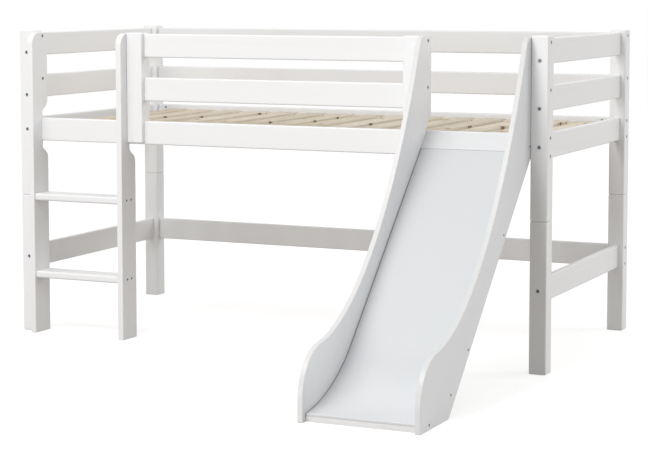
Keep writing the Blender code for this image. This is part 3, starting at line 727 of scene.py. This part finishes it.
# Ladder. Two upright sides, sawn to shape and eased, are cut back round the bed rail so that they stand
# against the posts above and below it. Bolts and screws hold them.
SIDE_EASING = 0.002
SIDE_SEGMENTS = 3
LADDER_CORNER = 0.042
RECESS_MARGIN = 0.004
RECESS_CURVE = 0.066
RECESS_PULL = 0.5
ROUND_PULL = 0.5523
OUTLINE_STEPS = 20
FLAT_ANGLE = math.radians(0.4)
WELD = 0.00001


class Outline:
    """A closed outline in the YZ plane, drawn point by point with straight runs and smooth bends."""

    def __init__(self, start):
        self.knots = [[Vector(start)] * 3]

    def line_to(self, *points):
        for point in points:
            self.knots.append([Vector(point)] * 3)

    def bend_to(self, point, heading, arrival, pulls):
        """Leaves on the heading and comes in on the arrival, pulled by shares of the straight span."""
        before, start = self.knots[-1][:2]
        end = Vector(point)
        span = (end - start).length
        self.knots[-1] = [before, start, start + Vector(heading).normalized() * span * pulls[0]]
        self.knots.append([end - Vector(arrival).normalized() * span * pulls[1], end, end])

    def sawn_board(self, name, left, right, easing):
        """The outline as a board between two places along X, with eased arrises."""
        deselect()
        bpy.ops.curve.primitive_bezier_curve_add()
        drawn = bpy.context.object
        drawing = drawn.data
        drawing.dimensions = "2D"
        drawing.fill_mode = "BOTH"
        drawing.resolution_u = OUTLINE_STEPS
        drawing.extrude = (right - left) / 2
        line = drawing.splines[0]
        line.bezier_points.add(len(self.knots) - 2)
        line.use_cyclic_u = True
        for point, (before, place, after) in zip(line.bezier_points, self.knots):
            point.handle_left_type = "FREE"
            point.handle_right_type = "FREE"
            point.co = (*place, 0)
            point.handle_left = (*before, 0)
            point.handle_right = (*after, 0)
        drawn.rotation_euler = (math.pi / 2, 0, math.pi / 2)
        drawn.location = ((left + right) / 2, 0, 0)
        bpy.ops.object.convert(target="MESH")
        board = bpy.context.object
        board.name = name
        bpy.ops.object.transform_apply(location=True, rotation=True, scale=True)
        bpy.ops.object.mode_set(mode="EDIT")
        bpy.ops.mesh.select_all(action="SELECT")
        bpy.ops.mesh.remove_doubles(threshold=WELD)
        bpy.ops.mesh.dissolve_limited(angle_limit=FLAT_ANGLE)
        bpy.ops.mesh.select_all(action="SELECT")
        bpy.ops.mesh.normals_make_consistent(inside=False)
        bpy.ops.object.mode_set(mode="OBJECT")
        eased = board.modifiers.new("easing", "BEVEL")
        eased.width = easing
        eased.segments = SIDE_SEGMENTS
        eased.limit_method = "ANGLE"
        eased.angle_limit = SMOOTH_ANGLE
        bpy.ops.object.modifier_apply(modifier=eased.name)
        return board


def recess_top():
    """Where the back edge leaves the bed rail's face, and where it comes to the posts' back face."""
    start = bed_rail_high.z + RECESS_MARGIN
    return (rail_front, start), (post_back, start + RECESS_CURVE)


def recess_bottom():
    """Where the back edge leaves the posts' back face, and where it comes to the bed rail's face."""
    end = bed_rail_low.z - RECESS_MARGIN
    return (post_back, end - RECESS_CURVE), (rail_front, end)


post_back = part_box("left_front_upper_post")[1].y
post_middle = sum(corner.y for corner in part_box("left_front_upper_post")) / 2
UP = (0, 1)

SCREW_SEAT = (0.009, 0.0015)
SCREW_HOLE = 0.005
STEP_SCREW_SPREAD = 0.031
SCREW_HEAD_RADIUS = 0.0043
SCREW_HEAD_TOP = 0.0003
SCREW_HEAD_EASING = 0.0005
SCREW_SHANK_RADIUS = 0.0020
SCREW_LENGTH = 0.040
SCREW_BORE_DEPTH = 0.05
CROSS_SLOT = (0.0052, 0.0011, 0.0020)
SCREW_ZINC = (0.07, 0.07, 0.07)

screw_hole = hole_model("screw_hole", (SCREW_SEAT, (SCREW_HOLE, SCREW_BORE_DEPTH)))
screw_model = head_with_shank(
    "screw_model",
    SCREW_HEAD_RADIUS,
    SCREW_HEAD_TOP,
    SCREW_SEAT[1],
    SCREW_SHANK_RADIUS,
    SCREW_LENGTH,
    SCREW_HEAD_EASING,
)
for turn in (0, math.pi / 2):
    deselect()
    bpy.ops.mesh.primitive_cube_add(
        size=1, scale=CROSS_SLOT, location=(0, 0, SCREW_HEAD_TOP), rotation=(0, 0, turn)
    )
    cut(screw_model, bpy.context.object)
screw_model.hide_render = True
screw_plating = zinc("screw_plating", SCREW_ZINC)

for side, inward in (("left", 1), ("right", -1)):
    node = f"{side}_ladder_stringer"
    low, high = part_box(node)
    outline = Outline((low.y, low.z))
    outline.line_to((post_back, low.z))
    start, end = recess_bottom()
    outline.line_to(start)
    outline.bend_to(end, UP, UP, (RECESS_PULL, RECESS_PULL))
    start, end = recess_top()
    outline.line_to(start)
    outline.bend_to(end, UP, UP, (RECESS_PULL, RECESS_PULL))
    outline.line_to((post_back, high.z), (low.y + LADDER_CORNER, high.z))
    round_pulls = (ROUND_PULL / math.sqrt(2),) * 2
    outline.bend_to((low.y, high.z - LADDER_CORNER), (-1, 0), (0, -1), round_pulls)
    stringer = outline.sawn_board(node + "_wood", low.x, high.x, SIDE_EASING)

    inner_face, outer_face = (high.x, low.x) if inward == 1 else (low.x, high.x)
    bolts = [((inner_face, post_middle, level), (-inward, 0, 0)) for level in guard_levels]
    screws = []
    for step in ("lower_ladder_step", "upper_ladder_step"):
        step_low, step_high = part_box(step)
        step_middle = (step_low + step_high) / 2
        for shift in (-STEP_SCREW_SPREAD / 2, STEP_SCREW_SPREAD / 2):
            screws.append(((outer_face, step_middle.y + shift, step_middle.z), (inward, 0, 0)))
    drill(stringer, seated_hole, bolts)
    drill(stringer, screw_hole, screws)
    settle(stringer, lacquer_upright, node)
    settle(put_copies(screw_model, node + "_screws", screws), screw_plating)
    if side == "left":
        settle(put_copies(sleeve_nut, node + "_sleeve_nuts", bolts), bolt_plating)
    else:
        settle(put_copies(guard_bolt, node + "_bolts", bolts), bolt_plating)


# Steps. Two thick flat treads with softly rounded long edges stand between the ladder's sides.
STEP_EASING = 0.007

for node in ("lower_ladder_step", "upper_ladder_step"):
    step = planed_board(node + "_wood", *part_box(node), "X", STEP_EASING, RAIL_END_EASING)
    settle(step, lacquer_lengthwise, node)


# Slide bed. A smooth white laminated sheet runs straight down from the bed rail and bends out flat at its
# foot. A sloped board fills the head of the slide, and a second one closes it under the lip.
CHUTE_DROP = 0.003
CHUTE_LINE_AHEAD = 0.057
CHUTE_RADIUS = 0.551
CHUTE_EXIT_HEIGHT = 0.026
CHUTE_LIP_SETBACK = 0.020
CHUTE_JOINT = 0.001
CHUTE_STEP_DOWN = 0.001
CHUTE_THICKNESS = 0.008
SLIDE_FOOT = 0.231
TOP_BOARD_LENGTH = 0.076
TOP_BOARD_THICKNESS = 0.022
FRONT_BOARD_LENGTH = 0.095
FRONT_BOARD_THICKNESS = 0.016
BATTEN_DEPTH = 0.030
BATTEN_WIDTH = 0.040
BATTEN_EASING = 0.003
BATTEN_PLACE_SHARES = (0.323, 0.680, 0.821)
# Painted shade: the slide's top board has a greyer copy of the white lacquer, to darken it where it faces up
# into the light.
SHADED_BOARD_WHITE = (0.720, 0.725, 0.735)
# Painted shadow: a dark line this wide along the sheet's edges, where the gap to the slide's sides falls in
# shade.
GAP_SHADOW_LINE = 0.0020
LIP_EASING = 0.0015
CHUTE_BEND_STEPS = 28
# Painted light: the sheet is lighter near its foot, below these heights.
FOOT_LIGHT_HEIGHTS = (0.03, 0.15)
LAMINATE_TINTS = ((0.640, 0.654, 0.668), (0.628, 0.642, 0.656))
FOOT_LIGHT_TINT = (0.715, 0.729, 0.743)
STREAK_TINT = (0.60, 0.61, 0.62)
GAP_SHADOW_DARK = (0.10, 0.10, 0.105)
LAMINATE_RELIEF = 0.00003

slide_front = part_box("left_slide_side")[0].y
chute_start = Vector((rail_front, bed_rail_high.z - CHUTE_DROP))
chute_exit = Vector((slide_front + CHUTE_LIP_SETBACK, CHUTE_EXIT_HEIGHT))
chute_line_foot = Vector((slide_front + SLIDE_FOOT - CHUTE_LINE_AHEAD, 0))
straight_down = (chute_line_foot - chute_start).normalized()
straight_out = Vector((straight_down.y, -straight_down.x))
exit_lift = (chute_exit - chute_start).dot(straight_out)
exit_run = (chute_exit - chute_start).dot(straight_down)
straight_length = exit_run - math.sqrt(exit_lift * (2 * CHUTE_RADIUS - exit_lift))
arc_turn = math.acos(1 - exit_lift / CHUTE_RADIUS)
chute_length = straight_length + CHUTE_RADIUS * arc_turn
bend_centre = chute_start + straight_down * straight_length + straight_out * CHUTE_RADIUS


def under_chute(distance, depth):
    """The point this deep under the slide's surface, this far down it, with the ways down and out there."""
    turn = Matrix.Rotation(min(0, (straight_length - distance) / CHUTE_RADIUS), 2)
    down, out = turn @ straight_down, turn @ straight_out
    if distance <= straight_length:
        return chute_start + straight_down * distance - out * depth, down, out
    return bend_centre - out * (CHUTE_RADIUS + depth), down, out


def arc_pulls(turn):
    """The pull shares that make a bend of this turn a round arc."""
    return (4 / 3 * math.tan(turn / 4) / (2 * math.sin(turn / 2)),) * 2


def laminate(name, left_edge, right_edge):
    """A smooth cool white face, slightly streaked from use, with painted light making it brighter near the
    foot.

    A painted shadow line runs along the slide's sides, where the gap beside them falls in shade."""
    finish = Finish(name, metallic=0)
    clouds = finish.noise(finish.place(), 3.0, 3)
    drag = finish.noise(finish.place((60, 1.5, 1.5)), 1, 4, 0.6)
    fine = finish.noise(finish.place(), 900, 2)
    streaks = finish.step(drag, 0.55, 0.80)
    spot = finish.place()
    across = finish.node("ShaderNodeSeparateXYZ", None, {"Vector": spot}, "X")
    height = finish.node("ShaderNodeSeparateXYZ", None, {"Vector": spot}, "Z")
    # Painted shadow line along the sheet's long edges.
    from_side = finish.math("MINIMUM", across - left_edge, right_edge - across)
    gap_shadow = 1 - finish.step(from_side, GAP_SHADOW_LINE / 2, GAP_SHADOW_LINE)
    tint = finish.mix(clouds, *LAMINATE_TINTS)
    # Painted light: brighter towards the foot.
    foot_light = 1 - finish.step(height, *FOOT_LIGHT_HEIGHTS)
    lit_near_foot = finish.mix(foot_light, tint, FOOT_LIGHT_TINT)
    white = finish.mix(streaks * 0.06, lit_near_foot, STREAK_TINT)
    finish.feed("Base Color", finish.mix(gap_shadow * 0.9, white, GAP_SHADOW_DARK))
    finish.feed("Roughness", 0.26 + streaks * 0.10 + clouds * 0.05)
    finish.feed("Normal", finish.bump(fine * 0.3 + drag, LAMINATE_RELIEF))
    return finish.material


sheet_low, sheet_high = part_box("slide_sheet")
sheet_start = TOP_BOARD_LENGTH + CHUTE_JOINT
slope = math.atan2(-straight_down.y, -straight_down.x)
run = straight_length - sheet_start
centre = under_chute(sheet_start + run / 2, CHUTE_THICKNESS / 2)[0]
deselect()
bpy.ops.mesh.primitive_cube_add(
    size=1,
    scale=(sheet_high.x - sheet_low.x, run, CHUTE_THICKNESS),
    location=((sheet_low.x + sheet_high.x) / 2, *centre),
    rotation=(slope, 0, 0),
)
sheet = bpy.context.object
sheet.name = "slide_sheet_laminate"
bpy.ops.object.transform_apply(location=True, rotation=True, scale=True)
down = Vector((0, *straight_down))
select_faces(sheet, lambda middle, normal: normal.dot(down) > END_SHARE)
bpy.ops.mesh.spin(steps=CHUTE_BEND_STEPS, angle=arc_turn, center=(0, *bend_centre), axis=(1, 0, 0))
bpy.ops.object.mode_set(mode="OBJECT")
lip, lip_down = under_chute(chute_length, 0)[:2]
select_edges(sheet, lambda *ends: min((end.yz - lip).dot(lip_down) for end in ends) > -CLEARANCE)
round_selected(LIP_EASING, SIDE_SEGMENTS)
settle(sheet, laminate("slide_laminate", sheet_low.x, sheet_high.x), "slide_sheet")

low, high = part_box("slide_top_board")
board_top = CHUTE_STEP_DOWN
front_top = under_chute(TOP_BOARD_LENGTH, -board_top)[0]
front_bottom = under_chute(TOP_BOARD_LENGTH, TOP_BOARD_THICKNESS - board_top)[0]
back_top = (rail_front, chute_start.y + board_top / -straight_down.x)
back_bottom = (rail_front, back_top[1] - TOP_BOARD_THICKNESS / -straight_down.x)
outline = Outline(back_top)
outline.line_to(front_top, front_bottom, back_bottom)
board_corners = [Vector(corner) for corner in (back_top, front_top, front_bottom, back_bottom)]
top_board_middle = sum(board_corners, Vector((0, 0))) / len(board_corners)
top_board = outline.sawn_board("slide_top_board_wood", low.x, high.x, RAIL_END_EASING)
# A greyer copy of the lacquer that paints shade on the upward-facing top board.
shaded_board_lacquer = lacquer("slide_board_lacquer", "X", white=SHADED_BOARD_WHITE)
settle(top_board, shaded_board_lacquer, "slide_top_board")

low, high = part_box("slide_front_board")
under_sheet = CHUTE_THICKNESS + CLEARANCE
under_board = under_sheet + FRONT_BOARD_THICKNESS
board_start = chute_length - FRONT_BOARD_LENGTH
board_pulls = arc_pulls(FRONT_BOARD_LENGTH / CHUTE_RADIUS)
start, start_down = under_chute(board_start, under_sheet)[:2]
outline = Outline(start)
outline.bend_to(under_chute(chute_length, under_sheet)[0], start_down, lip_down, board_pulls)
outline.line_to(under_chute(chute_length, under_board)[0])
outline.bend_to(under_chute(board_start, under_board)[0], -lip_down, -start_down, board_pulls)
front_board = outline.sawn_board("slide_front_board_wood", low.x, high.x, RAIL_END_EASING / 2)
settle(front_board, lacquer_lengthwise, "slide_front_board")


# Battens. Three bare pine battens lie across under the slide's sheet and stiffen it. Only the heads of the
# screws that hold them show, on the outer faces of the slide's sides.
front_board_middle = under_chute(board_start + FRONT_BOARD_LENGTH / 2, (under_sheet + under_board) / 2)[0]
cross_middles = [top_board_middle, front_board_middle]
cross_left, cross_right = low.x, high.x
for name, share in zip(("upper", "middle", "lower"), BATTEN_PLACE_SHARES):
    node = f"slide_{name}_batten"
    middle, down = under_chute(chute_length * share, under_sheet + BATTEN_DEPTH / 2)[:2]
    batten_pine = bare_pine(f"{name}_batten_pine", "X", middle.x - BATTEN_WIDTH, BATTEN_WIDTH * 2)
    half = Vector((0, BATTEN_WIDTH, BATTEN_DEPTH)) / 2
    low = Vector((cross_left, *middle)) - half
    high = Vector((cross_right, *middle)) + half
    turn = math.atan2(-down.y, -down.x)
    batten = planed_board(node + "_wood", low, high, "X", BATTEN_EASING, RAIL_END_EASING, turn)
    settle(batten, batten_pine, node)
    cross_middles.append(middle)


# Slide sides. Two lacquered boards sawn to a long sweep, high at the bed and low at the nose, hold the
# sheet between them. They are cut back round the bed rail and bolted to the posts like the ladder.
SHOULDER_REACH = 0.053
SHOULDER_DROP = 0.050
SLIDE_CORNER = 0.047
LOW_SIDE = 0.221
NOSE_DEPTH = 0.135
NOSE_RISE = 0.070
SLIDE_HEEL = 0.018
SHOULDER_LEAN_SHARE = 0.38
LOW_SIDE_FALL_SHARE = 0.12
CORNER_PULLS = (0.45, 0.30)
FRONT_EDGE_PULLS = (0.34, 0.28)
NOSE_PULLS = (0.47, 0.28)
# Painted shade: the right side has a greyer copy of the white lacquer, to darken its outer face where the
# light from the right falls on it.
SLIDE_SIDE_WHITES_RIGHT_SHADED = {"left": WHITE, "right": (0.780, 0.800, 0.820)}

post_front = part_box("left_front_upper_post")[0].y
for side, inward in (("left", 1), ("right", -1)):
    node = f"{side}_slide_side"
    low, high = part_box(node)
    shoulder = (post_front - SHOULDER_REACH, high.z - SHOULDER_DROP)
    shoulder_fall = (-SHOULDER_LEAN_SHARE, -1)
    low_fall = (-1, -LOW_SIDE_FALL_SHARE)
    outline = Outline((low.y, 0))
    outline.line_to((low.y + SLIDE_FOOT, 0), (rail_front, bed_rail_low.z + SLIDE_HEEL))
    start, end = recess_top()
    outline.line_to(start)
    outline.bend_to(end, UP, UP, (RECESS_PULL, RECESS_PULL))
    outline.line_to((post_back, high.z), (post_front + SLIDE_CORNER - SHOULDER_REACH, high.z))
    outline.bend_to(shoulder, (-1, 0), shoulder_fall, CORNER_PULLS)
    outline.bend_to((low.y + NOSE_DEPTH, LOW_SIDE), shoulder_fall, low_fall, FRONT_EDGE_PULLS)
    outline.bend_to((low.y, NOSE_RISE), low_fall, (0, -1), NOSE_PULLS)
    slide_side = outline.sawn_board(node + "_wood", low.x, high.x, SIDE_EASING)

    inner_face, outer_face = (high.x, low.x) if inward == 1 else (low.x, high.x)
    bolts = [((inner_face, post_middle, level), (-inward, 0, 0)) for level in guard_levels]
    screws = [((outer_face, *middle), (inward, 0, 0)) for middle in cross_middles]
    drill(slide_side, seated_hole, bolts)
    drill(slide_side, screw_hole, screws)
    # On the right side this is a greyer copy that paints shade, and on both sides the edges carry painted
    # shade.
    sloped_lacquer = lacquer(f"{side}_slide_lacquer", "Y", -slope, SLIDE_SIDE_WHITES_RIGHT_SHADED[side], "X")
    settle(slide_side, sloped_lacquer, node)
    settle(put_copies(screw_model, node + "_screws", screws), screw_plating)
    if side == "left":
        settle(put_copies(guard_bolt, node + "_bolts", bolts), bolt_plating)
    else:
        settle(put_copies(sleeve_nut, node + "_sleeve_nuts", bolts), bolt_plating)


# Slats. Fifteen flat boards of bare knotty pine lie across the ledgers, planed on all faces with lightly
# broken arrises. The knots that show from the slide's side are put where the real boards have them.
SLAT_EASING = 0.002
KNOTS = (
    ((-0.206, 0.433, 0.787), 0.0080),
    ((-0.079, 0.560, 0.786), 0.0080),
    ((-0.079, 0.771, 0.786), 0.0070),
    ((0.176, 0.510, 0.786), 0.0085),
    ((-0.589, 0.593, 0.787), 0.0070),
    ((0.559, 0.536, 0.787), 0.0060),
    ((0.559, 0.556, 0.787), 0.0050),
    ((0.687, 0.549, 0.787), 0.0130),
    ((0.815, 0.840, 0.787), 0.0070),
    ((0.370, 0.790, 0.792), 0.0110),
)

slat_pine = bare_pine("slat_pine", "Y", slat_boxes[0][0].x, slat_pitch, KNOTS)
for node in sorted(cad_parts):
    if node.startswith("slat_"):
        slat = planed_board(node + "_wood", *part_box(node), "Y", SLAT_EASING, RAIL_END_EASING)
        settle(slat, slat_pine, node)


# Slat tapes. Two woven cotton tapes under the slats keep them evenly spaced. They are off-white, flat and
# as long as the run of slats.
WARP_SCALE = 190
WEFT_SCALE = 150
YARN_SHADE = (0.56, 0.54, 0.49)
YARN_TOP = (0.76, 0.75, 0.71)
WEAVE_RELIEF = 0.0003


def webbing(name):
    """A plain weave of off-white yarns, one over and one under."""
    finish = Finish(name, metallic=0)
    spot = finish.place()
    warp = finish.node("ShaderNodeTexWave", {"bands_direction": "Y"}, {"Vector": spot, "Scale": WARP_SCALE})
    weft = finish.node("ShaderNodeTexWave", {"bands_direction": "X"}, {"Vector": spot, "Scale": WEFT_SCALE})
    crossing = warp * weft
    fuzz = finish.noise(spot, 700, 3)
    finish.feed("Base Color", finish.mix(crossing * 0.7 + fuzz * 0.2, YARN_SHADE, YARN_TOP))
    finish.feed("Roughness", 0.82 + fuzz * 0.12)
    finish.feed("Normal", finish.bump(crossing + fuzz * 0.3, WEAVE_RELIEF))
    return finish.material


tape_weave = webbing("woven_tape")
for depth in ("front", "back"):
    node = f"{depth}_slat_tape"
    low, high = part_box(node)
    tape = planed_board(node + "_weave", low, high, "X", (high.z - low.z) / 4, (high.z - low.z) / 5)
    settle(tape, tape_weave, node)


# Models of holes and fasteners. Each was made once, kept out of the render and copied into place. All the
# copies are in the bed now, so the models go.
hole_models = (seated_hole, nut_hole, end_bore, through_hole, screw_hole)
fastener_models = (rail_bolt, side_bolt, guard_bolt, sleeve_nut, nut_model, screw_model)
for model in hole_models + fastener_models:
    bpy.data.objects.remove(model)


# Floor. A pale studio floor that the camera sees as white, with the bed's own soft shadow on it. To the
# light it is a warmer tone, so the feet of the posts pick up a little of it.
FLOOR_SIZE = 60
FLOOR_COLOUR = (0.41, 0.378, 0.336)
FLOOR_SEEN_COLOUR = (0.45, 0.45, 0.45)
FLOOR_SPECKLE_SHADE = 0.98
FLOOR_LIFT = 0.70

deselect()
bpy.ops.mesh.primitive_plane_add(size=FLOOR_SIZE, location=(0, 0, -CLEARANCE))
floor = bpy.context.object
floor.name = "studio_floor"
paint = Finish("studio_floor_paint", roughness=1)
speckle = paint.noise(paint.place(), 3, 2)
speckle_colour = [value * FLOOR_SPECKLE_SHADE for value in FLOOR_COLOUR]
paint.feed("Base Color", paint.mix(speckle, FLOOR_COLOUR, speckle_colour))
paint.shader.inputs["Specular IOR Level"].default_value = 0
camera_ray = paint.node("ShaderNodeLightPath", output="Is Camera Ray")
glossy_ray = paint.node("ShaderNodeLightPath", output="Is Glossy Ray")
clear_ray = paint.node("ShaderNodeLightPath", output="Is Transmission Ray")
seen = paint.math("MAXIMUM", camera_ray, paint.math("MAXIMUM", glossy_ray, clear_ray))
glow = paint.node("ShaderNodeEmission", None, {"Color": (1, 1, 1, 1), "Strength": FLOOR_LIFT})
shadow_catcher = paint.node("ShaderNodeBsdfDiffuse", None, {"Color": (*FLOOR_SEEN_COLOUR, 1)})
white_floor = paint.node("ShaderNodeAddShader", None, {0: shadow_catcher, 1: glow})
warm_floor = Term(paint, paint.shader.outputs[0])
both = paint.node("ShaderNodeMixShader", None, {0: seen, 1: warm_floor, 2: white_floor})
paint.tree.links.new(both.socket, paint.tree.nodes["Material Output"].inputs["Surface"])
floor.data.materials.append(paint.material)


# Studio light. Two softboxes hang high in front of the bed, a low one fills from the front, another lights
# it from far back on the right, and the white room gives the rest.
ROOM_STRENGTH = 0.675
SOFTBOXES = (
    ("high_softbox", (-0.3, -3.4, 4.6), (0.0, 0.0, 0.5), 1.4, 82),
    ("left_softbox", (-2.6, -4.0, 5.6), (0.0, 0.0, 0.5), 2.5, 80),
    ("low_softbox", (-0.7, -6.0, 0.9), (0.0, 0.0, 0.5), 2.4, 66),
    ("right_softbox", (9.5, 5.5, 4.0), (0.0, 0.0, 0.6), 5.0, 290),
)

world = bpy.data.worlds.new("white_room")
bpy.context.scene.world = world
world.use_nodes = True
room = world.node_tree


def either(first, second):
    """1 for a ray of one kind or the other, and 0 for the rest."""
    larger = room.nodes.new("ShaderNodeMath")
    larger.operation = "MAXIMUM"
    room.links.new(first, larger.inputs[0])
    room.links.new(second, larger.inputs[1])
    return larger.outputs[0]


rays = room.nodes.new("ShaderNodeLightPath").outputs
shown_ray = either(rays["Is Camera Ray"], either(rays["Is Glossy Ray"], rays["Is Transmission Ray"]))
strength = room.nodes.new("ShaderNodeMapRange")
strength.inputs["To Min"].default_value = ROOM_STRENGTH
strength.inputs["To Max"].default_value = 1
room.links.new(shown_ray, strength.inputs["Value"])
background = room.nodes["Background"]
background.inputs["Color"].default_value = (1, 1, 1, 1)
room.links.new(strength.outputs[0], background.inputs["Strength"])

for name, place, aim, size, power in SOFTBOXES:
    deselect()
    turn = (Vector(aim) - Vector(place)).to_track_quat("-Z", "Y").to_euler()
    bpy.ops.object.light_add(type="AREA", location=place, rotation=turn)
    lamp = bpy.context.object
    lamp.name = name
    lamp.data.size = size
    lamp.data.energy = power


# Camera. It stands well in front of the bed and to its right, a little above the rails, and looks back and
# to the left. Its shift frames the bed as the photograph does.
CAMERA_PLACE = (3.0215, -6.0648, 1.3030)
CAMERA_YAW = 0.43275
CAMERA_PITCH = -0.08700
CAMERA_ROLL = 0.00039
CAMERA_LENS = 106.143
CAMERA_SHIFT = -0.12
SENSOR_WIDTH = 36

bpy.ops.object.camera_add(
    location=CAMERA_PLACE, rotation=(math.pi / 2 + CAMERA_PITCH, CAMERA_ROLL, CAMERA_YAW)
)
camera = bpy.context.object
camera.data.lens = CAMERA_LENS
camera.data.sensor_width = SENSOR_WIDTH
camera.data.shift_y = CAMERA_SHIFT
bpy.context.scene.camera = camera
bpy.context.scene.view_settings.view_transform = "Standard"
